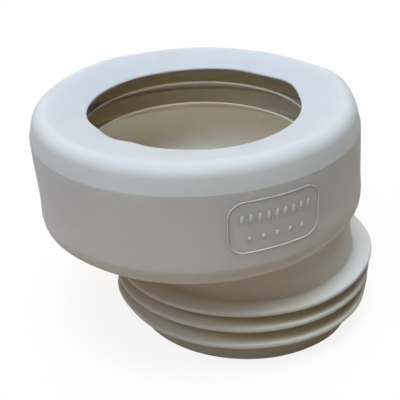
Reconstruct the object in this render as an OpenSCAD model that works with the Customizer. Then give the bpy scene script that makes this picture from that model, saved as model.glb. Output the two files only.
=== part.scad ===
// Offset toilet pan connector, moulded in one piece of soft pale elastomer.
// The wide bell grips the pan's outlet with its mouth and two inner lips, and the
// narrower spigot below it, set off to one side, seals in the soil pipe with fins.
// The origin is the centre of the inlet mouth. +Z leaves the mouth along the
// bell's axis, and +X points to the side that the spigot is set off to.

/* [Inlet] */
// Diameter of the mouth
mouth_d = 90; // [80:1:100]
// Length of the straight edge of the mouth
mouth_land = 1; // [0.8:0.1:3]
// How far the edges of the inner lips lie back behind the edge of the mouth
lip_setback = 2.5; // [0:0.1:4]
// Drop from the mouth to the edge of the upper inner lip
lip_drop = 7.2; // [6:0.1:9]
// Distance from one inner lip to the next
lip_pitch = 10.4; // [8:0.1:12]
// Thickness of an inner lip at its round edge
lip_edge_t = 0.9; // [0.8:0.1:2]
// Thickness of an inner lip at the wall
lip_root_t = 2; // [1.5:0.1:3.5]
// Slope at which the inner lips rise towards the middle, in degrees
lip_slope = 26; // [10:1:30]

/* [Bell] */
// How far the bell stands out past the neck on the offset side
bell_margin = 1.5; // [1:0.1:12]
// How much the wall draws in from the parting line to its foot
wall_taper = 0.4; // [0:0.1:1]
// Thickness of the side wall at its foot
wall_t = 3.6; // [2.5:0.1:4.5]
// Height of the crown of the rim above the mouth
rim_rise = 3.8; // [2:0.1:5]
// Radius of the rounded rim
rim_round = 6; // [5:0.5:7]
// Slope of the band between the rim and the parting line, in degrees
band_draft = 10; // [4:1:14]
// Drop from the mouth to the parting line
parting_drop = 6.7; // [5:0.1:10]
// Height of the wall from the parting line to its foot
wall_h = 32.6; // [26:0.2:44]
// Radius that turns the wall into the underside
foot_round = 12.5; // [10:0.5:15]
// Thickness of the floor of the bell
floor_t = 4; // [3:0.1:6]

/* [Spigot] */
// Distance between the axes of the bell and the spigot
offset_x = 19.5; // [12:0.5:24]
// Diameter of the waterway
bore_d = 88; // [78:0.5:92]
// Thickness of the neck where it leaves the bell
neck_t = 4; // [3:0.1:6]
// Thickness of the tube that carries the fins
tube_t = 5; // [3.5:0.1:7]
// Height from the bell's underside to the middle of the first fin's rim
neck_h = 17.6; // [14:0.2:30]
// Height from the middle of the last fin's rim to the end of the spigot
tail_h = 13.2; // [6:0.2:30]
// Radius of the cove where the neck leaves the bell
cove_round = 5; // [2:0.5:6]
// Radius of the round sill where the floor of the bell falls into the waterway
sill_round = 3; // [1.5:0.5:3.5]
// Chamfer on the end of the spigot
end_chamfer = 1; // [0.5:0.1:2]

/* [Fins] */
// Number of sealing fins
fin_count = 3; // [2:1:4]
// Outside diameter of the fins
fin_d = 115; // [108:0.5:120]
// Distance from one fin to the next
fin_pitch = 7.9; // [6:0.1:9]
// Thickness of a fin at its rim
fin_edge_t = 1.8; // [1.4:0.1:2.4]
// Radius on both edges of a fin's rim
fin_edge_round = 0.5; // [0.2:0.1:0.6]
// Thickness of a fin at the tube
fin_root_t = 3.2; // [2.5:0.1:4]
// Radius of the fillet between a fin's upper face and the tube
fin_fillet = 1.5; // [0.5:0.1:2]

/* [Marking panel] */
// Width of the raised outline, measured straight across
panel_w = 39.6; // [30:0.2:50]
// Height of the raised outline
panel_h = 22.8; // [16:0.2:24]
// Corner radius of the outline
panel_round = 7; // [3:0.5:8]
// Width of the outline's line
panel_line = 1.1; // [0.6:0.1:2]
// How far the line stands out of the wall
panel_raise = 0.5; // [0.3:0.1:1]
// Drop from the parting line to the middle of the panel
panel_drop = 15.3; // [13:0.1:18]
// Angle of the panel round the bell, from the offset side, in degrees
panel_angle = -65; // [-120:5:120]

/* [Hidden] */
$fn = 120;
shade = "#C9C8C2";
overlap = 1;
mouth_r = mouth_d / 2;
lip_r = mouth_r + lip_setback;
bore_r = bore_d / 2;
neck_r = bore_r + neck_t;
tube_r = bore_r + tube_t;
fin_r = fin_d / 2;
bell_r = offset_x + neck_r + bell_margin;
foot_r = bell_r - wall_taper;
parting_z = -parting_drop;
foot_z = parting_z - wall_h;
// The foot's arc starts a little past upright, which leaves a crisp line there.
foot_turn = 8;
foot_cx = foot_r - foot_round * cos(foot_turn);
foot_cz = foot_z + foot_round * sin(foot_turn);
under_z = foot_cz - foot_round;
floor_z = under_z + floor_t;
inner_round = foot_round - wall_t;
inner_r = foot_cx + inner_round;
// The rim's arc touches the sloping band outside and the dished face inside.
rim_cz = rim_rise - rim_round;
rim_cx = bell_r - (rim_round + (rim_cz - parting_z) * sin(band_draft)) / cos(band_draft);
rim_reach = norm([rim_cx - mouth_r, rim_cz]);
dish = atan2(rim_cz, rim_cx - mouth_r) + asin(rim_round / rim_reach);
rim_touch = rim_cx - rim_round * sin(dish);
// The flange's underside falls towards the mouth too, and is thicker at the wall.
flange_slope = dish - 3;
corner_cut = 3;
flange_in_r = inner_r - corner_cut;
flange_in_z = -mouth_land + (flange_in_r - mouth_r) * tan(flange_slope);
corner_z = flange_in_z - corner_cut;
first_fin_z = under_z - neck_h;
end_z = first_fin_z - (fin_count - 1) * fin_pitch - tail_h;
// The blends leave out the offset side, where neck and bell run nearly in line.
blend_start = 25;
ring_steps = 62;
arc_steps = 4;

function unit(v) = v / norm(v);

// Height of the bell's round lower surface, whose arc has radius arc_r, at the
// distance r from the bell's axis. It is flat as far out as the arc's centre.
function foot_surface(r, arc_r) =
    foot_cz - sqrt(pow(arc_r, 2) - pow(max(0, r - foot_cx), 2));

// Section of a blend at the angle a round the spigot. A ball rolls in the corner
// between an upright wall of radius wall_r and the bell's round lower surface.
// The section follows the ball, and leaves its arc a few degrees early, along a
// tangent, so that it crosses what it joins at an angle and ends inside it.
function blend_section(a, wall_r, arc_r, ball) =
    let (
        out = [cos(a), sin(a), 0],
        across = [offset_x, 0, 0],
        middle_r = wall_r + ball,
        from_bell = norm(across + middle_r * out),
        middle = middle_r * out + [0, 0, foot_surface(from_bell, arc_r + ball)],
        bell_out = unit(across + middle_r * out),
        arc_centre = min(from_bell, foot_cx) * bell_out + [0, 0, foot_cz] - across,
        to_wall = -out,
        to_bell = unit(arc_centre - middle),
        turn = acos(to_wall * to_bell),
        lead = min(12, turn / 4),
        step = (turn - 2 * lead) / arc_steps,
        arc = [for (k = [0 : arc_steps]) let (t = lead + k * step)
            (sin(turn - t) * to_wall + sin(t) * to_bell) / sin(turn)],
        down = (cos(turn - lead) * to_wall - cos(lead) * to_bell) / sin(turn),
        up = (cos(turn - lead) * to_bell - cos(lead) * to_wall) / sin(turn),
        reach = 0.6 * overlap / sin(lead),
        corner_r = norm(across + wall_r * out),
        corner = (wall_r - overlap) * out + [0, 0, foot_surface(corner_r, arc_r) + overlap]
    ) concat(
        [middle + ball * arc[0] + reach * down],
        [for (p = arc) middle + ball * p],
        [middle + ball * arc[arc_steps] + reach * up, corner]
    );

// Half section of the bell without its hollow
module bell_outline() {
    polygon([
        [0, under_z],
        [foot_cx, under_z],
        [foot_cx, foot_z],
        [foot_r, foot_z],
        [bell_r, parting_z],
        [rim_cx + rim_round * cos(band_draft), rim_cz + rim_round * sin(band_draft)],
        [rim_cx, rim_cz],
        [rim_touch, rim_cz + rim_round * cos(dish)],
        [mouth_r, 0],
        [0, 0]
    ]);
    translate([rim_cx, rim_cz]) circle(rim_round);
    intersection() {
        translate([foot_cx, foot_cz]) circle(foot_round);
        translate([foot_cx, under_z]) square([foot_round, foot_z - under_z]);
    }
}

// Half section of the room inside the bell, with the mouth
module bell_room() {
    above = rim_rise + overlap;
    polygon([
        [0, above],
        [mouth_r, above],
        [mouth_r, -mouth_land],
        [flange_in_r, flange_in_z],
        [inner_r, corner_z],
        [inner_r, foot_cz],
        [foot_cx, foot_cz],
        [foot_cx, floor_z],
        [0, floor_z]
    ]);
    intersection() {
        translate([foot_cx, foot_cz]) circle(inner_round);
        translate([foot_cx, floor_z]) square([inner_round, foot_cz - floor_z]);
    }
}

// Half section of one inner lip, whose edge has its top at the given height. The lip
// rises from the wall like a funnel turned over, and gives way to what is pushed in.
module lip_section(edge_z) {
    edge_r = lip_edge_t / 2;
    root_r = inner_r + overlap;
    root_z = edge_z - (root_r - lip_r) * tan(lip_slope);
    polygon([
        [lip_r + edge_r, edge_z],
        [root_r, root_z],
        [root_r, root_z - lip_root_t],
        [lip_r + edge_r, edge_z - lip_edge_t]
    ]);
    translate([lip_r + edge_r, edge_z - edge_r]) circle(edge_r);
}

// Half section of one sealing fin, whose rim is centred on the given height
module fin_section(rim_z) {
    half = fin_edge_t / 2;
    root_r = tube_r - overlap;
    root_top = rim_z + half;
    rounded_r = fin_r - fin_edge_round;
    rounded_h = fin_edge_t - 2 * fin_edge_round;
    polygon([
        [root_r, root_top],
        [rounded_r, root_top],
        [rounded_r, rim_z - half],
        [root_r, root_top - fin_root_t]
    ]);
    translate([rounded_r - overlap, rim_z - rounded_h / 2])
        square([overlap + fin_edge_round, rounded_h]);
    for (z = [-1, 1]) translate([rounded_r, rim_z + z * rounded_h / 2])
        circle(fin_edge_round);
    difference() {
        translate([root_r, root_top - overlap])
            square([overlap + fin_fillet, overlap + fin_fillet]);
        translate([tube_r + fin_fillet, root_top + fin_fillet]) circle(fin_fillet);
    }
}

// The solid bell, before it is hollowed
module bell() {
    rotate_extrude() bell_outline();
}

// What is hollow in the bell: its room and mouth, but for the inner lips
module bell_hollow() {
    rotate_extrude() difference() {
        bell_room();
        for (i = [0 : 1]) lip_section(-lip_drop - i * lip_pitch);
    }
}

// The solid neck, tube and fins, about the spigot's own axis
module spigot() {
    neck_foot_z = first_fin_z + fin_edge_t / 2 + fin_fillet;
    rotate_extrude() {
        polygon([
            [0, end_z],
            [tube_r - end_chamfer, end_z],
            [tube_r, end_z + end_chamfer],
            [tube_r, neck_foot_z],
            [neck_r, under_z - cove_round],
            [neck_r, foot_cz - overlap],
            [0, foot_cz - overlap]
        ]);
        for (i = [0 : fin_count - 1]) fin_section(first_fin_z - i * fin_pitch);
    }
}

// The bore for the water, from the room in the bell to the end of the spigot
module waterway() {
    translate([0, 0, end_z - overlap])
        cylinder(h = foot_cz - end_z + overlap, r = bore_r);
}

// A rolling ball's fillet round the spigot, from one side of the offset to the other
module blend(wall_r, arc_r, ball) {
    sections = [for (i = [0 : ring_steps]) blend_section(
        blend_start + (360 - 2 * blend_start) * i / ring_steps, wall_r, arc_r, ball)];
    m = len(sections[0]);
    last = ring_steps * m;
    polyhedron(
        points = [for (s = sections) for (p = s) p],
        faces = concat(
            [for (i = [0 : ring_steps - 1], j = [0 : m - 1], half = [0, 1])
                let (a = i * m + j, b = i * m + (j + 1) % m, c = a + m, d = b + m)
                half == 0 ? [a, c, d] : [a, d, b]],
            [for (j = [1 : m - 2]) [m - 1, j - 1, j]],
            [for (j = [1 : m - 2]) [last + m - 1, last + j, last + j - 1]]
        )
    );
}

// A rectangle with round corners, centred
module round_rectangle(w, h, r) {
    square([w - 2 * r, h], center = true);
    square([w, h - 2 * r], center = true);
    for (x = [-1, 1], y = [-1, 1])
        translate([x * (w / 2 - r), y * (h / 2 - r)]) circle(r);
}

// The raised outline on the wall, which frames the place for a marking
module panel_outline() {
    intersection() {
        rotate([0, 0, panel_angle]) rotate([90, 0, 90])
            translate([0, parting_z - panel_drop, 0])
            linear_extrude(bell_r + 2 * panel_raise) difference() {
                round_rectangle(panel_w, panel_h, panel_round);
                round_rectangle(panel_w - 2 * panel_line, panel_h - 2 * panel_line,
                    panel_round - panel_line);
            }
        translate([0, 0, foot_z]) rotate_extrude() polygon([
            [foot_r - overlap, 0],
            [foot_r + panel_raise, 0],
            [bell_r + panel_raise, wall_h],
            [foot_r - overlap, wall_h]
        ]);
    }
}

module connector_body() {
    color(shade) difference() {
        union() {
            bell();
            panel_outline();
            translate([offset_x, 0, 0]) {
                spigot();
                blend(neck_r, foot_round, cove_round);
            }
        }
        bell_hollow();
        translate([offset_x, 0, 0]) {
            waterway();
            blend(bore_r, inner_round, sill_round);
        }
    }
}

connector_body();
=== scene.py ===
# %% [markdown]
# Offset pan connector in soft white elastomer
#
# The real part is one injection moulding: a wide bell that stretches over the
# outlet of a toilet pan, and below it, set off to one side, a spigot with three
# soft fins that seals in a soil pipe. This file makes that one piece again, with
# the small deviations of a soft moulding, then gives it its material, a floor,
# light and a camera. The CAD model stays as a hidden frame that fixes every size.

# %% Load the frame
import math

import bmesh
import bpy
import numpy as np
from mathutils import Matrix, Vector


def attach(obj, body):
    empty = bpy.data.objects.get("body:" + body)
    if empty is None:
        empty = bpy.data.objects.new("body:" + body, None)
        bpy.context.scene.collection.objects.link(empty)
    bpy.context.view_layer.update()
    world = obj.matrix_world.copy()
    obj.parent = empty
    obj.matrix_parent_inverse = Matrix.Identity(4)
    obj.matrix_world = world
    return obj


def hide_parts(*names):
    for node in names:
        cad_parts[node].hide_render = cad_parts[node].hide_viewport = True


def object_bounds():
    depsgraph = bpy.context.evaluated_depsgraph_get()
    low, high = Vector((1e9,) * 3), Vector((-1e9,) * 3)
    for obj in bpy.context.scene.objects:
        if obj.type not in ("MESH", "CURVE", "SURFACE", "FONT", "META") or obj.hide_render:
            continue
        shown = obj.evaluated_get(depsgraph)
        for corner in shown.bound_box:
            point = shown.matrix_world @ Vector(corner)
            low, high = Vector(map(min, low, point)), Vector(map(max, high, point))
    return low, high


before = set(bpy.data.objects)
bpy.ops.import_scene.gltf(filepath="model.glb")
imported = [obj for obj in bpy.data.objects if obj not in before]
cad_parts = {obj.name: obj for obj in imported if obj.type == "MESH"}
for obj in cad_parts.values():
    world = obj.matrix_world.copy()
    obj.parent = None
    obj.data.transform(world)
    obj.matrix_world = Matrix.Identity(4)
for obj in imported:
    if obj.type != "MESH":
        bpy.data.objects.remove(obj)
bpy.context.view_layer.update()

# %% [markdown]
# Sizes
#
# A turned moulding is known by its half section, so the sizes below are those of
# the section, in millimetres: the bell about its own axis, the spigot about an
# axis 19.5 mm to the side. The origin is the centre of the mouth. Heights follow
# from each other, so a deeper foot takes the floor and the spigot down with it.

# %% Sizes of the moulding in millimetres
MM = 0.001
OFFSET = 19.5  # from the bell's axis to the spigot's axis
BELL_R, FOOT_R = 69.0, 68.6
PARTING_Z, FOOT_Z = -6.7, -39.3
ARC_R, ARC_C = 12.5, 56.22  # arc that turns the wall into the underside
ARC_CZ = FOOT_Z + ARC_R * math.sin(math.radians(8))
UNDER_Z = ARC_CZ - ARC_R
FLOOR_Z = UNDER_Z + 4.0
INNER_R, INNER_ARC_R = 65.12, 13.0
INNER_ARC_C, INNER_CZ = INNER_R - INNER_ARC_R, FLOOR_Z + INNER_ARC_R
LIP_R, UPPER_LIP_Z, LOWER_LIP_Z = 47.5, -7.2, -17.6  # edges of the two inner lips
NECK_R, TUBE_R, BORE_R = 48.0, 49.0, 44.0
FIN_PITCH, FIN_COUNT = 7.9, 3
FIRST_FIN_Z = UNDER_Z - 17.6
END_Z = FIRST_FIN_Z - (FIN_COUNT - 1) * FIN_PITCH - 13.2
print("end of the spigot at", round(END_Z, 2), "mm")

# %% [markdown]
# Half sections with soft corners
#
# A mould is cut with small radii, and light catches on them, so no corner of the
# section may be a bare point. A Bevel modifier could round the turned mesh, but its
# one width fits neither the crisp parting line nor the wide fillets of the fins. So
# one helper takes corner points with a radius for each, and puts an arc there.
# Another adds points along the straight runs, so that the surface can be pushed
# about later, as a soft moulding is.


# %% Helpers for a half section
def arc(centre_r, centre_z, radius, start, end, count):
    """Points of an arc in the half section, with its angles in degrees."""
    turns = np.radians(np.linspace(start, end, count))
    return [(centre_r + radius * math.cos(t), centre_z + radius * math.sin(t)) for t in turns]


def rounded(corners, segments=4):
    """Replace each (r, z, radius) corner by an arc that touches both its edges."""
    points = []
    for i, (r, z, radius) in enumerate(corners):
        here = np.array([r, z])
        if radius == 0 or i in (0, len(corners) - 1):
            points.append(here)
            continue
        before = np.array(corners[i - 1][:2]) - here
        after = np.array(corners[i + 1][:2]) - here
        room = min(np.linalg.norm(before), np.linalg.norm(after)) * 0.49
        before /= np.linalg.norm(before)
        after /= np.linalg.norm(after)
        half = math.acos(np.clip(before @ after, -1, 1)) / 2
        reach = min(radius / math.tan(half), room)
        radius = reach * math.tan(half)
        middle = (before + after) / np.linalg.norm(before + after)
        centre = here + middle * radius / math.sin(half)
        start, end = here + before * reach - centre, here + after * reach - centre
        turn = math.pi - 2 * half
        for k in range(segments + 1):
            t = turn * k / segments
            points.append(
                centre + (math.sin(turn - t) * start + math.sin(t) * end) / math.sin(turn)
            )
    return points


def spaced(points, step):
    """Add points along the straight runs, so that none is longer than the step."""
    made = [points[0]]
    for a, b in zip(points, points[1:]):
        a, b = np.array(a), np.array(b)
        pieces = max(1, math.ceil(np.linalg.norm(b - a) / step))
        made += [a + (b - a) * k / pieces for k in range(1, pieces + 1)]
    return made


corner = rounded([(0.0, 0.0, 0), (9.0, 0.0, 0.5), (9.0, 9.0, 0)])[1:-1]
print("a rounded corner has", len(corner), "points")

# %% [markdown]
# Turning the sections
#
# Geometry Nodes turn each half section round its axis: the section is swept along
# a circle by Curve to Mesh. A Screw modifier turns a section too, but this tree
# also sets copies below each other at a pitch, which is how the three equal fins
# are made, and welds their seams. The sizes are named inputs, so another count or
# pitch is one number.


# %% The tree that turns a half section
def add(tree, kind, settings=None, out=0, **links):
    """Add a node, set it, give each input a value or a link, and return one output."""
    node = tree.nodes.new(kind)
    for name, value in (settings or {}).items():
        setattr(node, name, value)
    for name, value in links.items():
        socket = node.inputs[int(name[1:])] if name[1:].isdigit() else node.inputs[name]
        if isinstance(value, bpy.types.NodeSocket):
            tree.links.new(value, socket)
        else:
            socket.default_value = value
    return node.outputs[out] if node.outputs else node


def new_tree(name, inputs):
    """A Geometry Nodes tree with a geometry socket each way and the named inputs."""
    tree = bpy.data.node_groups.new(name, "GeometryNodeTree")
    face = tree.interface
    face.new_socket("Geometry", in_out="INPUT", socket_type="NodeSocketGeometry")
    face.new_socket("Geometry", in_out="OUTPUT", socket_type="NodeSocketGeometry")
    for label, kind in inputs.items():
        face.new_socket(label, in_out="INPUT", socket_type="NodeSocket" + kind)
    return tree, tree.nodes.new("NodeGroupInput").outputs


def run_tree(obj, tree, values):
    """Put the tree on the object, set its inputs, and return the result as a plain mesh."""
    modifier = obj.modifiers.new(tree.name, "NODES")
    modifier.node_group = tree
    for item in tree.interface.items_tree:
        if item.in_out == "INPUT" and item.name in values:
            modifier[item.identifier] = values[item.name]
    evaluated = obj.evaluated_get(bpy.context.evaluated_depsgraph_get())
    mesh = bpy.data.meshes.new_from_object(evaluated)
    obj.modifiers.remove(modifier)
    return mesh


turning, put = new_tree(
    "turned_section",
    {
        "Steps": "Int",
        "Ring radius": "Float",
        "Axis": "Vector",
        "Copies": "Int",
        "Pitch": "Vector",
        "Material": "Material",
    },
)
spine = add(turning, "GeometryNodeCurvePrimitiveCircle", Resolution=put["Steps"],
            Radius=put["Ring radius"])
section = add(turning, "GeometryNodeMeshToCurve", Mesh=put["Geometry"])
turned = add(turning, "GeometryNodeCurveToMesh", Curve=spine, _1=section)
places = add(turning, "GeometryNodeMeshLine", Count=put["Copies"], _2=put["Axis"],
             Offset=put["Pitch"])
copies = add(turning, "GeometryNodeInstanceOnPoints", Points=places, Instance=turned)
whole = add(turning, "GeometryNodeRealizeInstances", Geometry=copies)
welded = add(turning, "GeometryNodeMergeByDistance", Geometry=whole, Distance=0.01 * MM)
finished = add(turning, "GeometryNodeSetMaterial", Geometry=welded, Material=put["Material"])
add(turning, "NodeGroupOutput", Geometry=finished)


def new_object(name, vertices, edges=(), faces=()):
    """An object at the origin whose mesh has these vertices, given in millimetres."""
    mesh = bpy.data.meshes.new(name)
    mesh.from_pydata((np.array(vertices) * MM).tolist(), edges, faces)
    obj = bpy.data.objects.new(name, mesh)
    bpy.context.scene.collection.objects.link(obj)
    return obj


RING = 50.0  # radius of the circle that the sections are swept along
STEPS = 272  # points round each ring, which keeps the piece under 200,000 triangles


def turn(name, points, axis_x=0.0, copies=1, pitch=0.0):
    """Turn a half section, given as (r, z) points, and return the mesh."""
    # Curve to Mesh lays the section's X outwards and its Y downwards on the circle.
    flat = [(r - RING, -z, 0) for r, z in points]
    guide = new_object(name, flat, edges=[(i, i + 1) for i in range(len(flat) - 1)])
    mesh = run_tree(guide, turning, {
        "Steps": STEPS, "Ring radius": RING * MM, "Axis": (axis_x * MM, 0, 0),
        "Copies": copies, "Pitch": (0, 0, -pitch * MM), "Material": elastomer,
    })
    bpy.data.objects.remove(guide)
    print(name, "has", len(mesh.polygons), "faces")
    return mesh


print("the turning tree has", len(turning.nodes), "nodes")

# %% [markdown]
# The material
#
# The real one is a white thermoplastic elastomer, injection moulded in a tool with
# a fine spark-eroded finish. To the eye it is matt and a little waxy: pale, with a
# warm tone where light passes through it or bounces between its own faces, soft
# wide highlights, and hardly any texture until it is close. Light spreads several
# millimetres in the thick bell, which brightens its inside. The inside is duller
# than the outside. Light and shade are also painted into the colour: the inside is
# painted lighter, the lips' undersides and the low part with the fins get painted
# warm shade, and the lips' edges painted warm bounce light.
#
# Such places could be painted, or given a material each. Masks made from the height
# and the distance to each axis need no painting, and keep one material on one piece.

# %% The elastomer: where a point lies
MATH = "ShaderNodeMath"
PRODUCT, SUM, DIFFERENCE, LARGER, PRODUCT_SUM = (
    {"operation": name} for name in ("MULTIPLY", "ADD", "SUBTRACT", "MAXIMUM", "MULTIPLY_ADD"))

elastomer = bpy.data.materials.new("moulded_white_elastomer")
elastomer.use_nodes = True
nodes = elastomer.node_tree
nodes.nodes.clear()
place = add(nodes, "ShaderNodeTexCoord", out="Object")
at_x, at_y, at_z = add(nodes, "ShaderNodeSeparateXYZ", _0=place).node.outputs
flat = add(nodes, "ShaderNodeVectorMath", {"operation": "MULTIPLY"}, _0=place, _1=(1, 1, 0))
from_bell_axis, from_spigot_axis = [
    add(nodes, "ShaderNodeVectorMath", {"operation": "DISTANCE"}, out="Value", _0=flat,
        _1=(axis_x * MM, 0, 0))
    for axis_x in (0, OFFSET)
]


def between(value, low, high):
    """A mask, 1 where the value in metres lies between two sizes in millimetres."""
    return add(nodes, MATH, PRODUCT,
               _0=add(nodes, MATH, {"operation": "GREATER_THAN"}, _0=value, _1=low * MM),
               _1=add(nodes, MATH, {"operation": "LESS_THAN"}, _0=value, _1=high * MM))


# Each mask reaches a little past the faces that it is for, so none of them is cut.
# The room and the bore begin just under the mouth, and the lips end at -28 mm.
in_room = add(nodes, MATH, PRODUCT, _0=between(from_bell_axis, -1, INNER_R + 2),
              _1=between(at_z, FLOOR_Z - 0.5, -0.6))
in_bore = add(nodes, MATH, PRODUCT, _0=between(from_spigot_axis, -1, BORE_R + 2),
              _1=between(at_z, END_Z - 1, -0.6))
# Inside the bell and the bore the colour is painted lighter, as painted light
inside_it = add(nodes, MATH, LARGER, _0=in_room, _1=in_bore)
lips = add(nodes, MATH, PRODUCT, _0=between(from_bell_axis, -1, INNER_R - 3),
           _1=between(at_z, -28, UPPER_LIP_Z + 0.7))
# The lips' edges are painted warmer, as painted bounce light
lip_edges = add(nodes, MATH, PRODUCT, _0=lips, _1=between(from_bell_axis, -1, LIP_R + 0.8))
normal = add(nodes, "ShaderNodeNewGeometry", out="Normal")
facing_up = add(nodes, "ShaderNodeSeparateXYZ", out="Z", _0=normal)
facing_down = add(nodes, MATH, {"operation": "LESS_THAN"}, _0=facing_up, _1=-0.3)
# The lips' undersides are painted darker and warmer, as painted shade
under_lips = add(nodes, MATH, PRODUCT, _0=lips, _1=facing_down)
fins = add(nodes, MATH, PRODUCT, _0=between(from_spigot_axis, TUBE_R + 1, 99),
           _1=between(at_z, END_Z, FIRST_FIN_Z + 2))
print("the masks take", len(nodes.nodes), "nodes")


# %% The elastomer: its colours
def linear(hex_colour):
    """The linear colour of an sRGB hex value."""
    parts = [int(hex_colour[i:i + 2], 16) / 255 for i in (1, 3, 5)]
    return [c / 12.92 if c <= 0.04045 else ((c + 0.055) / 1.055) ** 2.4 for c in parts] + [1]


# Painted warm shade from the neck down, fading out on the first fin towards the offset side,
# where its top is lit from above
neck_fade, side_fade, fin_fade = [
    add(nodes, "ShaderNodeMapRange", {"interpolation_type": "SMOOTHSTEP"}, _0=value,
        _1=unshaded_at * MM, _2=shaded_at * MM)
    for value, unshaded_at, shaded_at in (
        (at_z, FIRST_FIN_Z + 8, FIRST_FIN_Z + 1), (at_x, 68, 40),
        (at_z, FIRST_FIN_Z - 1, FIRST_FIN_Z - 4))
]
shaded_low_part = add(nodes, MATH, PRODUCT, _0=between(from_spigot_axis, BORE_R + 2, 99), _1=neck_fade)
shaded_low_part = add(nodes, MATH, PRODUCT, _0=shaded_low_part,
               _1=add(nodes, MATH, LARGER, _0=side_fade, _1=fin_fade))

# Slow changes of tone, about 25 mm wide, as the melt cools unevenly
tone = add(nodes, "ShaderNodeTexNoise", Vector=place, Scale=1 / (25 * MM), Detail=2.0)
tone = add(nodes, "ShaderNodeMapRange", _0=tone, _1=0.35, _2=0.65)
colour = add(nodes, "ShaderNodeMix", {"data_type": "RGBA"}, out=2, Factor=tone,
             _6=linear("#E9E4D8"), _7=linear("#EDE8DD"))
# Painted light: the inside painted lighter, the lips' undersides and the low part painted with
# warm shade, the lips' edges with warm bounce light
PAINTED_LIGHT_TINTS = [(inside_it, "#FAF2E5"), (under_lips, "#DCCCB0"), (lip_edges, "#F7EBD2"),
         (shaded_low_part, "#E4DAC2")]
for mask, hex_colour in PAINTED_LIGHT_TINTS:
    colour = add(nodes, "ShaderNodeMix", {"data_type": "RGBA"}, out=2, Factor=mask,
                 _6=colour, _7=linear(hex_colour))
print("the outside's colour is changed in", len(PAINTED_LIGHT_TINTS), "places")

# %% The elastomer: its grain, and the step round the panel
PANEL_W, PANEL_H, PANEL_CORNER = 38.5, 21.7, 6.5
PANEL_TURN, PANEL_Z = -65.0, PARTING_Z - 15.3  # where its middle lies

# Eroded grain: 0.1 mm on the real tool, drawn 0.7 mm wide so that it shows at all
grain = add(nodes, "ShaderNodeTexNoise", Vector=place, Scale=1400.0, Detail=2.0)
# Ripples about 7 mm wide, left by the flow of the melt
ripple = add(nodes, "ShaderNodeTexNoise", Vector=place, Scale=150.0, Detail=1.0)
relief_so_far = add(nodes, "ShaderNodeBump", Strength=0.25, Distance=0.25 * MM, Height=ripple)

# Inside its frame the panel lies a little deeper than the wall, with a soft step
azimuth = add(nodes, MATH, {"operation": "ARCTAN2"}, _0=at_y, _1=at_x)
along_wall = add(nodes, MATH, PRODUCT_SUM, _0=azimuth, _1=BELL_R,
                 _2=-math.radians(PANEL_TURN) * BELL_R)
up_wall = add(nodes, MATH, PRODUCT_SUM, _0=at_z, _1=1 / MM, _2=-PANEL_Z)
squares = []
for value, size in ((along_wall, PANEL_W), (up_wall, PANEL_H)):
    past = add(nodes, MATH, {"operation": "ABSOLUTE"}, _0=value)
    past = add(nodes, MATH, DIFFERENCE, _0=past, _1=size / 2 - PANEL_CORNER)
    past = add(nodes, MATH, LARGER, _0=past, _1=0.0)
    squares.append(add(nodes, MATH, PRODUCT, _0=past, _1=past))
beyond = add(nodes, MATH, {"operation": "SQRT"},
             _0=add(nodes, MATH, SUM, _0=squares[0], _1=squares[1]))
step_up = add(nodes, "ShaderNodeMapRange", {"interpolation_type": "SMOOTHSTEP"}, _0=beyond,
              _1=PANEL_CORNER - 0.5, _2=PANEL_CORNER + 0.1)
step_up = add(nodes, MATH, LARGER, _0=step_up, _1=inside_it)
relief_so_far = add(nodes, "ShaderNodeBump", Strength=1.0, Distance=0.4 * MM, Height=step_up,
                    Normal=relief_so_far)
relief_so_far = add(nodes, "ShaderNodeBump", Strength=0.12, Distance=0.05 * MM, Height=grain,
                    Normal=relief_so_far)
print("the panel measures", PANEL_W, "by", PANEL_H, "mm")

# %% The elastomer: its surface
# The core leaves the inside dull, and light spreads in the thick bell but is left
# out of the thin lips and fins
SHINE = 0.35
shine = add(nodes, MATH, PRODUCT_SUM, _0=inside_it, _1=-SHINE, _2=SHINE)
thick = add(nodes, MATH, DIFFERENCE, _0=1.0, _1=add(nodes, MATH, LARGER, _0=lips, _1=fins))
gloss = add(nodes, "ShaderNodeMapRange", _0=ripple, _1=0.3, _2=0.7, _3=0.5, _4=0.6)
surface = add(nodes, "ShaderNodeBsdfPrincipled", **{
    "Base Color": colour, "Roughness": gloss, "IOR": 1.5, "Normal": relief_so_far,
    "Specular IOR Level": shine, "Subsurface Weight": thick,
    "Subsurface Radius": (1.0, 0.87, 0.72), "Subsurface Scale": 5.0 * MM,
})
# The outside's shine is also set as the socket's own value, under its link. The
# exported model loses the link to this socket, and keeps its value
surface.node.inputs["Specular IOR Level"].default_value = SHINE
add(nodes, "ShaderNodeOutputMaterial", Surface=surface)

# The thin marks on the wall are too small for light to spread in
marks_elastomer = elastomer.copy()
marks_elastomer.name = "moulded_white_elastomer_relief"
for node in marks_elastomer.node_tree.nodes:
    if node.type == "BSDF_PRINCIPLED":
        weight = node.inputs["Subsurface Weight"]
        marks_elastomer.node_tree.links.remove(weight.links[0])
        weight.default_value = 0.0
print("materials", elastomer.name, "and", marks_elastomer.name, "ready")

# %% [markdown]
# The bell
#
# From its foot the wall rises, nearly upright, to the parting line, where the two
# halves of the mould met and left a crisp edge. Above it a band leans inwards to
# the rolled rim, and the top face dishes down to the mouth. Inside are the straight
# land of the mouth, the flange's underside, and two lips that grip the pan's
# outlet. A cylinder with loop cuts and bevels could be worked into this shape. One
# turned section is used instead, because it lists every corner and radius once.


# %% Section of the bell, from its outer foot to its inner foot
def lip(edge_z):
    """Corners of one inner lip, from its root above, over its edge, to its root below."""
    root_z = edge_z - (INNER_R - LIP_R) * math.tan(math.radians(26))
    return [
        (INNER_R, root_z, 0.8),
        (LIP_R, edge_z, 0.42),
        (LIP_R, edge_z - 0.9, 0.42),
        (INNER_R, root_z - 2.0, 0.8),
    ]


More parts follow.
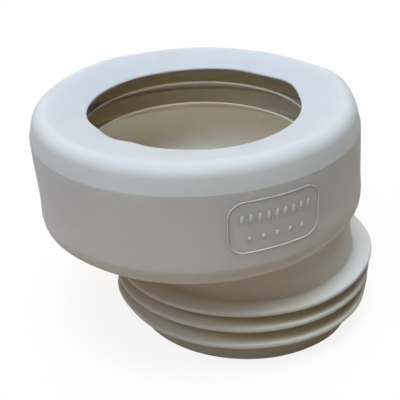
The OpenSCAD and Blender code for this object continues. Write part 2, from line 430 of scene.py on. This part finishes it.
MOUTH_R, MOUTH_LAND = 45.0, 1.0
RIM_R, RIM_C, RIM_CZ = 6.0, 62.11, -2.2
DISH = math.radians(13.0)  # slope of the top face towards the mouth
PARTING_R, BAND_TURN = 69.45, 14.3  # the band leans in from the parting line to the rim
touch = math.degrees(DISH) + 90
outside = rounded([
    (*arc(ARC_C, ARC_CZ, ARC_R, -10, -10, 1)[0], 0),
    (FOOT_R, FOOT_Z, 0.5),
    (PARTING_R, PARTING_Z, 0.3),
    (*arc(RIM_C, RIM_CZ, RIM_R, BAND_TURN, BAND_TURN, 1)[0], 0),
], segments=3)
rim = arc(RIM_C, RIM_CZ, RIM_R, BAND_TURN, touch, 15)
flange_r, flange_slope = INNER_R - 3, math.tan(DISH - math.radians(3))
flange_z = -MOUTH_LAND + (flange_r - MOUTH_R) * flange_slope
inside = rounded([
    (*rim[-1], 0),
    (MOUTH_R, 0, 0.45),
    (MOUTH_R, -MOUTH_LAND, 0.45),
    (flange_r, flange_z, 1.5),
    (INNER_R, flange_z - 3, 1.5),
    *lip(UPPER_LIP_Z),
    *lip(LOWER_LIP_Z),
    (INNER_R, INNER_CZ, 0),
], segments=3)
bell_section = spaced(outside, 1.6) + rim[1:-1] + spaced(inside, 2.4)
bell_mesh = turn("bell_section", bell_section)

# %% [markdown]
# The spigot and its fins
#
# The neck widens a little towards the fins, which fold back in the pipe and seal.
# One fin's section, from the fillet on its upper face to the tube below it, is
# turned once and repeated by the tree. An Array modifier could repeat it as well,
# but the tree has the pitch and the count among its inputs already. Below the last
# fin the tube ends in a small chamfer, and the bore is plain.

# %% Sections about the spigot's axis
COVE_R, SILL_R = 5.0, 3.0  # balls that round the neck's top and the sill of the bore
BALL_ROOM = 0.24  # how far below the ball's fillet the turned walls start
NECK_TOP_Z = UNDER_Z - COVE_R - BALL_ROOM
BORE_TOP_Z = FLOOR_Z - SILL_R - BALL_ROOM
FIN_R, FIN_T, FIN_ROOT_T, FIN_FILLET = 57.5, 1.8, 3.2, 1.5
stack_top = FIRST_FIN_Z + FIN_T / 2 + FIN_FILLET
stack_end = stack_top - FIN_COUNT * FIN_PITCH
neck_mesh = turn("neck_section", spaced([(NECK_R, NECK_TOP_Z), (TUBE_R, stack_top)], 1.4), OFFSET)

top_z = FIRST_FIN_Z + FIN_T / 2
under_root = top_z - FIN_ROOT_T + (FIN_ROOT_T - FIN_T) / (FIN_R - TUBE_R + 0.5)
fin_corners = [
    (TUBE_R, stack_top, 0),
    (TUBE_R, top_z, FIN_FILLET),
    (FIN_R, top_z, 1.1),
    (FIN_R, top_z - FIN_T, 0.25),
    (TUBE_R, under_root, 0.5),
    (TUBE_R, stack_top - FIN_PITCH, 0),
]
fin_points = spaced(rounded(fin_corners, segments=4), 1.3)
fin_mesh = turn("sealing_fins", fin_points, OFFSET, FIN_COUNT, FIN_PITCH)

end_corners = [
    (TUBE_R, stack_end, 0),
    (TUBE_R, END_Z + 1, 0.3),
    (TUBE_R - 1, END_Z, 0.3),
    (BORE_R, END_Z, 0.4),
    (BORE_R, BORE_TOP_Z, 0),
]
end_mesh = turn("tail_and_bore", spaced(rounded(end_corners, segments=2), 2.5), OFFSET)

# %% [markdown]
# Where bell and spigot meet
#
# The two axes don't agree, so this part can't be turned, and a Boolean with a bevel
# tears where the fillet runs out to nothing. A toolmaker rounds such a corner with
# a ball cutter, and the mesh does the same: for each direction round the spigot a
# ball rests against the spigot's wall and the bell's round lower surface, and the
# surface follows the ball between the two places where it touches. From there, rows
# of points run on over the bell's underside to its foot.


# %% The rolling ball's surface
def meeting(name, wall_r, arc_c, arc_cz, arc_r, ball, start_turn, end_z, rows):
    """Surface from the bell's arc, over the ball's fillet, to the spigot's wall.

    The rows say how many rings of points lie on each of the three.
    """
    around = 2 * np.pi * np.arange(STEPS) / STEPS
    outward = np.stack([np.cos(around), np.sin(around), 0 * around], 1)
    ball_at = outward * (wall_r + ball) + [OFFSET, 0, 0]
    from_bell = np.hypot(ball_at[:, 0], ball_at[:, 1])
    past = np.maximum(0, from_bell - arc_c)
    ball_at[:, 2] = arc_cz - np.sqrt((arc_r + ball) ** 2 - past ** 2)
    arc_at = ball_at * (np.minimum(from_bell, arc_c) / from_bell)[:, None]
    arc_at[:, 2] = arc_cz
    to_bell = arc_at - ball_at
    to_bell /= np.linalg.norm(to_bell, axis=1)[:, None]
    touch_at = ball_at + ball * to_bell
    touch_r = np.hypot(touch_at[:, 0], touch_at[:, 1])
    touch_turn = np.arctan2(arc_cz - touch_at[:, 2], touch_r - arc_c)
    quarter = arc_r * np.pi / 2
    touch_length = np.where(touch_r < arc_c, quarter + arc_c - touch_r, arc_r * touch_turn)
    touch_azimuth = np.unwrap(np.arctan2(touch_at[:, 1], touch_at[:, 0]))
    grid = []
    for t in np.linspace(0, 1, rows[0]):
        length = start_turn * arc_r + t * (touch_length - start_turn * arc_r)
        bend = np.minimum(length, quarter) / arc_r
        r = arc_c + arc_r * np.cos(bend) - np.maximum(0, length - quarter)
        azimuth = around + t * t * (3 - 2 * t) * (touch_azimuth - around)
        grid.append(np.stack([r * np.cos(azimuth), r * np.sin(azimuth),
                              arc_cz - arc_r * np.sin(bend)], 1))
    whole_turn = np.arccos(np.clip(np.sum(-outward * to_bell, 1), -1, 1))[:, None]
    for t in np.linspace(1, 0, rows[1])[1:]:
        mixed = np.sin(whole_turn * (1 - t)) * -outward + np.sin(whole_turn * t) * to_bell
        grid.append(ball_at + ball * mixed / np.sin(whole_turn))
    wall_at = grid[-1]
    for t in np.linspace(0, 1, rows[2])[1:]:
        grid.append(wall_at + [0, 0, t] * (end_z - wall_at[:, 2:3]))
    count = len(grid)
    faces = [(i * STEPS + j, i * STEPS + (j + 1) % STEPS,
              (i + 1) * STEPS + (j + 1) % STEPS, (i + 1) * STEPS + j)
             for i in range(count - 1) for j in range(STEPS)]
    print(name, "has", len(faces), "faces")
    return new_object(name, np.concatenate(grid), faces=faces)


underside = meeting("underside", NECK_R, ARC_C, ARC_CZ, ARC_R, COVE_R, math.radians(10),
                    NECK_TOP_Z, rows=(26, 9, 6))
bell_floor = meeting("bell_floor", BORE_R, INNER_ARC_C, INNER_CZ, INNER_ARC_R, SILL_R, 0.0,
                     BORE_TOP_Z, rows=(18, 7, 4))

# %% [markdown]
# One closed moulding
#
# The turned surfaces and the two meeting ones share their end rings, so welding
# them gives one closed skin, as one moulding has. A Boolean union needs no shared
# rings, but it leaves slivers that catch the light.


# %% Weld the surfaces
def welded_object(name, meshes):
    """One object from several meshes, with coinciding points joined."""
    shape = bmesh.new()
    for mesh in meshes:
        shape.from_mesh(mesh)
    bmesh.ops.remove_doubles(shape, verts=shape.verts, dist=0.01 * MM)
    bmesh.ops.recalc_face_normals(shape, faces=shape.faces)
    loose = [edge for edge in shape.edges if not edge.is_manifold]
    mesh = bpy.data.meshes.new(name)
    shape.to_mesh(mesh)
    shape.free()
    mesh.materials.clear()
    mesh.materials.append(elastomer)
    mesh.polygons.foreach_set("material_index", [0] * len(mesh.polygons))
    mesh.shade_smooth()
    obj = bpy.data.objects.new(name, mesh)
    bpy.context.scene.collection.objects.link(obj)
    print(name, "has", len(mesh.polygons), "faces and", len(loose), "open edges")
    return obj


moulding = welded_object("connector_moulding", [
    bell_mesh, neck_mesh, fin_mesh, end_mesh, underside.data, bell_floor.data])
for helper in (underside, bell_floor):
    bpy.data.objects.remove(helper)

# %% [markdown]
# Small deviations
#
# A soft moulding is never quite the drawn shape: it sags where it was stacked, its
# fins wave, and its mouth has been pushed about. Sculpting or a lattice could do
# this by hand. A list of soft pushes is used here, because it can be read and
# changed: a place, how far the push reaches along X, Y and Z, and the shift there,
# all in millimetres. The normals are then weighted by the size of the faces, which
# keeps flat faces flat beside the small corner radii.

# %% Push the surface about
NUDGES = [
    ((67, -14, -23), (30, 30, 9), (1.1, -0.2, 0)),  # bell, flared on the offset side
    ((66, -17, -37), (28, 28, 6), (1.9, -0.4, 0)),
    ((-67, -14, -32), (20, 14, 9), (0.6, 0.1, 0)),  # bell, other side
    ((-60, -31, -43.5), (12, 14, 6), (-0.6, -0.3, -0.4)),
    ((62, 21, 2.8), (8, 9, 6), (1.3, 0.5, 0.5)),  # rim
    ((-36, 52, 3.4), (10, 9, 8), (-0.3, 0.6, 0.6)),
    ((-52, 39, 3), (10, 10, 8), (-0.1, 0.1, 0.4)),
    ((0, 64, 3.4), (22, 10, 6), (0, 0.1, 0.4)),
    ((40, 20, 0), (9, 9, 2.5), (1.5, 0.8, 1.2)),  # mouth, pushed out at the back
    ((18, 41, 0), (13, 8, 2.5), (0.3, 0.7, 0.6)),
    ((-39, -22, 0), (6, 7, 2.5), (0.9, 0.5, 0.5)),  # mouth, curled up at the front
    ((-25, -37, 0), (5.5, 5.5, 2.5), (0.7, 1.0, 0.5)),
    ((-11, -43.5, 0), (10, 7, 2.5), (0.1, 0.5, 0.5)),
    ((76.5, -6, -67.5), (10, 18, 3), (0.5, 0, 0)),  # fins
    ((48, -50, -67.3), (12, 12, 3), (0, 0, -0.5)),
    ((-9, -50, -75.2), (20, 14, 3), (0, 0, 0.6)),
    ((74.3, -17.3, -84), (8, 9, 7), (-1.1, 0.4, 0.4)),
    ((48, -50, -83.1), (12, 12, 3), (0, 0, -0.5)),
    ((-31, -27, -84), (8, 10, 5), (0.3, 0.2, 0.3)),
    ((-37.7, -6, -84), (6, 8, 4), (-0.6, -0.1, 0)),
    ((57, -32, -95.5), (12, 12, 5), (0.7, -0.7, -0.6)),  # end of the spigot
    ((35, -45, -96), (16, 12, 5), (0.2, -0.5, -0.5)),
]


def nudge(obj):
    """Shift the points of the object near each of the places, fading out from it."""
    points = np.zeros(len(obj.data.vertices) * 3)
    obj.data.vertices.foreach_get("co", points)
    points = points.reshape(-1, 3) / MM
    moved = points.copy()
    for place, reach, shift in NUDGES:
        nearness = np.exp(-0.5 * np.sum(((points - place) / reach) ** 2, 1))
        moved += nearness[:, None] * np.array(shift)
    obj.data.vertices.foreach_set("co", (moved * MM).ravel())
    obj.data.update()
    print(obj.name, "moved by up to", round(np.abs(moved - points).max(), 2), "mm")


nudge(moulding)

# %% Weight the normals, and let the moulding stand for the frame's solid
modifier = moulding.modifiers.new("weights", "WEIGHTED_NORMAL")
modifier.weight = 50
modifier.keep_sharp = False
evaluated = moulding.evaluated_get(bpy.context.evaluated_depsgraph_get())
moulding.data = bpy.data.meshes.new_from_object(evaluated)
moulding.modifiers.clear()
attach(moulding, "root")
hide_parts("connector_body")
print(moulding.name, "has", len(moulding.data.vertices), "points")

# %% [markdown]
# The panel on the wall
#
# Such mouldings carry a raised frame for a marking. Here the frame holds plain
# raised bars and pips. Each could be set on the curved wall by itself. They are
# laid out flat instead, as on paper, and then one rule bends the sheet round the
# tapering wall, so that everything stands out evenly from it.

# %% The tree that lays out the panel and bends it round the wall
panel, put = new_tree(
    "wall_panel",
    {
        "Width": "Float", "Height": "Float", "Corner radius": "Float", "Line width": "Float",
        "Bar count": "Int", "Bar pitch": "Vector", "Bar start": "Vector", "Bar size": "Vector",
        "Pip count": "Int", "Pip pitch": "Vector", "Pip start": "Vector", "Pip size": "Vector",
        "Sink": "Float", "Foot radius": "Float", "Foot height": "Float", "Taper": "Float",
        "Azimuth": "Float", "Middle height": "Float", "Material": "Material",
    },
)
outline = add(panel, "GeometryNodeCurvePrimitiveQuadrilateral", Width=put["Width"],
              Height=put["Height"])
outline = add(panel, "GeometryNodeFilletCurve", {"mode": "POLY"}, Curve=outline,
              Radius=put["Corner radius"], Count=12)
outline = add(panel, "GeometryNodeResampleCurve", Curve=outline, Count=200)
bead_section = add(panel, "GeometryNodeCurvePrimitiveCircle", Resolution=12,
                   Radius=put["Line width"])
bead = add(panel, "GeometryNodeCurveToMesh", Curve=outline, _1=bead_section)
sheet = add(panel, "GeometryNodeJoinGeometry", Geometry=bead)
for kind in ("Bar", "Pip"):
    ball = add(panel, "GeometryNodeMeshUVSphere", Segments=16, Rings=10, Radius=0.5)
    line = add(panel, "GeometryNodeMeshLine", Count=put[kind + " count"],
               _2=put[kind + " start"], Offset=put[kind + " pitch"])
    row = add(panel, "GeometryNodeInstanceOnPoints", Points=line, Instance=ball,
              Scale=put[kind + " size"])
    panel.links.new(row, sheet.node.inputs[0])
sheet = add(panel, "GeometryNodeRealizeInstances", Geometry=sheet)

# Across the sheet becomes round the wall, up stays up, and out is away from its axis
position = add(panel, "GeometryNodeInputPosition")
across, up, out = add(panel, "ShaderNodeSeparateXYZ", _0=position).node.outputs
height = add(panel, MATH, SUM, _0=up, _1=put["Middle height"])
wall = add(panel, MATH, DIFFERENCE, _0=height, _1=put["Foot height"])
wall = add(panel, MATH, PRODUCT_SUM, _0=wall, _1=put["Taper"], _2=put["Foot radius"])
stand = add(panel, MATH, SUM, _0=wall, _1=out)
stand = add(panel, MATH, DIFFERENCE, _0=stand, _1=put["Sink"])
turned_by = add(panel, MATH, {"operation": "DIVIDE"}, _0=across, _1=wall)
turned_by = add(panel, MATH, {"operation": "ARCSINE"}, _0=turned_by)
turned_by = add(panel, MATH, SUM, _0=turned_by, _1=put["Azimuth"])
towards_x = add(panel, MATH, {"operation": "COSINE"}, _0=turned_by)
towards_y = add(panel, MATH, {"operation": "SINE"}, _0=turned_by)
bent = add(panel, "ShaderNodeCombineXYZ", Z=height,
           X=add(panel, MATH, PRODUCT, _0=stand, _1=towards_x),
           Y=add(panel, MATH, PRODUCT, _0=stand, _1=towards_y))
sheet = add(panel, "GeometryNodeSetPosition", Geometry=sheet, Position=bent)
sheet = add(panel, "GeometryNodeSetShadeSmooth", Geometry=sheet)
sheet = add(panel, "GeometryNodeSetMaterial", Geometry=sheet, Material=put["Material"])
add(panel, "NodeGroupOutput", Geometry=sheet)
print("the panel's tree has", len(panel.nodes), "nodes")

# %% Lay out the panel
carrier = new_object("panel_carrier", [(0, 0, 0)])
panel_mesh = run_tree(carrier, panel, {
    "Width": PANEL_W * MM, "Height": PANEL_H * MM, "Corner radius": PANEL_CORNER * MM,
    "Line width": 0.4 * MM, "Bar count": 9, "Bar pitch": (3.5 * MM, 0, 0),
    "Bar start": (-14.0 * MM, 3.4 * MM, 0), "Bar size": (1.9 * MM, 4.6 * MM, 1.1 * MM),
    "Pip count": 5, "Pip pitch": (5.6 * MM, 0, 0), "Pip start": (-11.2 * MM, -5.0 * MM, 0),
    "Pip size": (1.9 * MM, 2.8 * MM, 1.1 * MM), "Sink": 0.15 * MM,
    "Foot radius": FOOT_R * MM, "Foot height": FOOT_Z * MM,
    "Taper": (PARTING_R - FOOT_R) / (PARTING_Z - FOOT_Z), "Azimuth": math.radians(PANEL_TURN),
    "Middle height": PANEL_Z * MM, "Material": marks_elastomer,
})
bpy.data.objects.remove(carrier)
marks = bpy.data.objects.new("wall_panel", panel_mesh)
bpy.context.scene.collection.objects.link(marks)
nudge(marks)
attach(marks, "root")
print("the panel has", len(panel_mesh.polygons), "faces")

# %% [markdown]
# Floor and light
#
# The top face is nearly white while the walls are grey, so the light came almost
# straight from above, cool and from a wide window or softbox, with a weaker one from
# the front left and a warm bounce from the ground. The floor looks white to the
# camera, but sends that darker, warmer light to the part, and under the bore it is
# pale, which lights the inside from below. Area lamps could stand in for the
# windows. Smooth lobes of light in the world are used instead, because they leave
# no edges in the soft gloss and no lamp can come into view.

# %% The floor
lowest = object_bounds()[0][2]
print("the floor lies at", round(lowest / MM, 2), "mm")
floor_mesh = bpy.data.meshes.new("floor")
disc = bmesh.new()
bmesh.ops.create_circle(disc, cap_ends=True, segments=96, radius=4.0)
disc.to_mesh(floor_mesh)
disc.free()
floor = bpy.data.objects.new("floor", floor_mesh)
floor_mesh.transform(Matrix.Translation((0, 0, lowest)))
bpy.context.scene.collection.objects.link(floor)
ground = bpy.data.materials.new("pale_floor")
ground.use_nodes = True
nodes = ground.node_tree
nodes.nodes.clear()
path = add(nodes, "ShaderNodeLightPath").node.outputs
seen = add(nodes, MATH, LARGER, _0=path["Is Camera Ray"], _1=path["Is Glossy Ray"])
seen = add(nodes, MATH, LARGER, _0=seen, _1=path["Is Transmission Ray"])
within = add(nodes, "ShaderNodeVectorMath", {"operation": "DISTANCE"}, out="Value",
             _0=add(nodes, "ShaderNodeTexCoord", out="Object"), _1=(OFFSET * MM, 0, END_Z * MM))
within = add(nodes, MATH, {"operation": "LESS_THAN"}, _0=within, _1=BORE_R * MM)
card = add(nodes, "ShaderNodeMix", {"data_type": "RGBA"}, out=2, Factor=within,
           _6=(0.38, 0.3, 0.22, 1), _7=(0.85, 0.8, 0.7, 1))
bounce = add(nodes, "ShaderNodeBsdfDiffuse", Color=card)
paper = add(nodes, "ShaderNodeAddShader",
            _0=add(nodes, "ShaderNodeEmission", Color=(0.87, 0.87, 0.87, 1)),
            _1=add(nodes, "ShaderNodeBsdfDiffuse", Color=(0.16, 0.14, 0.12, 1)))
mixed = add(nodes, "ShaderNodeMixShader", _0=seen, _1=bounce, _2=paper)
add(nodes, "ShaderNodeOutputMaterial", Surface=mixed)
floor_mesh.materials.append(ground)

# %% The soft lights
# Each one: azimuth and elevation in degrees, how narrow it is, and its colour
SOFT_LIGHTS = [
    (-90, 80, 40, (10.7, 13.2, 15.8)),  # overhead, a little to the front
    (60, 60, 20, (0.8, 0.8, 1.0)),  # from behind, to the right
    (-125, 50, 40, (3.4, 4.1, 5.0)),  # from the front left
    (-95, 25, 20, (0.25, 0.22, 0.22)),  # low, from the front
    (180, 55, 6, (0.35, 0.3, 0.5)),  # from the left
    (90, 20, 6, (1.0, 0.8, 0.5)),  # low, from behind
]
world = bpy.data.worlds.new("studio")
bpy.context.scene.world = world
world.use_nodes = True
nodes = world.node_tree
nodes.nodes.clear()
direction = add(nodes, "ShaderNodeTexCoord", out="Generated")
sky_colour = (0, 0, 0)
for azimuth, elevation, narrow, strength in SOFT_LIGHTS:
    turn_by, rise = math.radians(azimuth), math.radians(elevation)
    towards = (math.cos(turn_by) * math.cos(rise), math.sin(turn_by) * math.cos(rise),
               math.sin(rise))
    facing = add(nodes, "ShaderNodeVectorMath", {"operation": "DOT_PRODUCT"}, out="Value",
                 _0=direction, _1=towards)
    facing = add(nodes, MATH, LARGER, _0=facing, _1=0.0)
    lobe = add(nodes, MATH, {"operation": "POWER"}, _0=facing, _1=narrow)
    part = add(nodes, "ShaderNodeVectorMath", {"operation": "SCALE"}, _0=strength, Scale=lobe)
    sky_colour = add(nodes, "ShaderNodeVectorMath", {"operation": "ADD"}, _0=part, _1=sky_colour)
path = add(nodes, "ShaderNodeLightPath").node.outputs
light = add(nodes, "ShaderNodeBackground", Color=sky_colour)
white = add(nodes, "ShaderNodeBackground", Color=(1, 1, 1, 1))
mixed = add(nodes, "ShaderNodeMixShader", _0=path["Is Camera Ray"], _1=light, _2=white)
add(nodes, "ShaderNodeOutputWorld", Surface=mixed)
print("the world has", len(SOFT_LIGHTS), "soft lights")

# %% [markdown]
# The camera
#
# Its place, direction and roll were worked out from the outlines of the part. The
# lens is that of a short telephoto on a 36 mm sensor. A Track To constraint could
# aim it, but can't roll it, so its three directions are set as a matrix.

# %% The camera
forward = Vector((0, 0.8816, -0.4719)).normalized()
roll = math.radians(2.44)
level_right = forward.cross(Vector((0, 0, 1))).normalized()
level_up = level_right.cross(forward)
right = math.cos(roll) * level_right - math.sin(roll) * level_up
upward = math.sin(roll) * level_right + math.cos(roll) * level_up
camera_data = bpy.data.cameras.new("camera")
camera_data.sensor_width = 36
camera_data.lens = 80.2
camera_data.clip_start = 0.01
camera = bpy.data.objects.new("camera", camera_data)
turned_to = Matrix((right, upward, -forward)).transposed().to_4x4()
camera.matrix_world = Matrix.Translation((0.00094, -0.3494, 0.1418)) @ turned_to
bpy.context.scene.collection.objects.link(camera)
bpy.context.scene.camera = camera
bpy.context.scene.view_settings.view_transform = "Standard"
print("the camera looks down by", round(math.degrees(math.asin(-forward.z)), 1), "degrees")
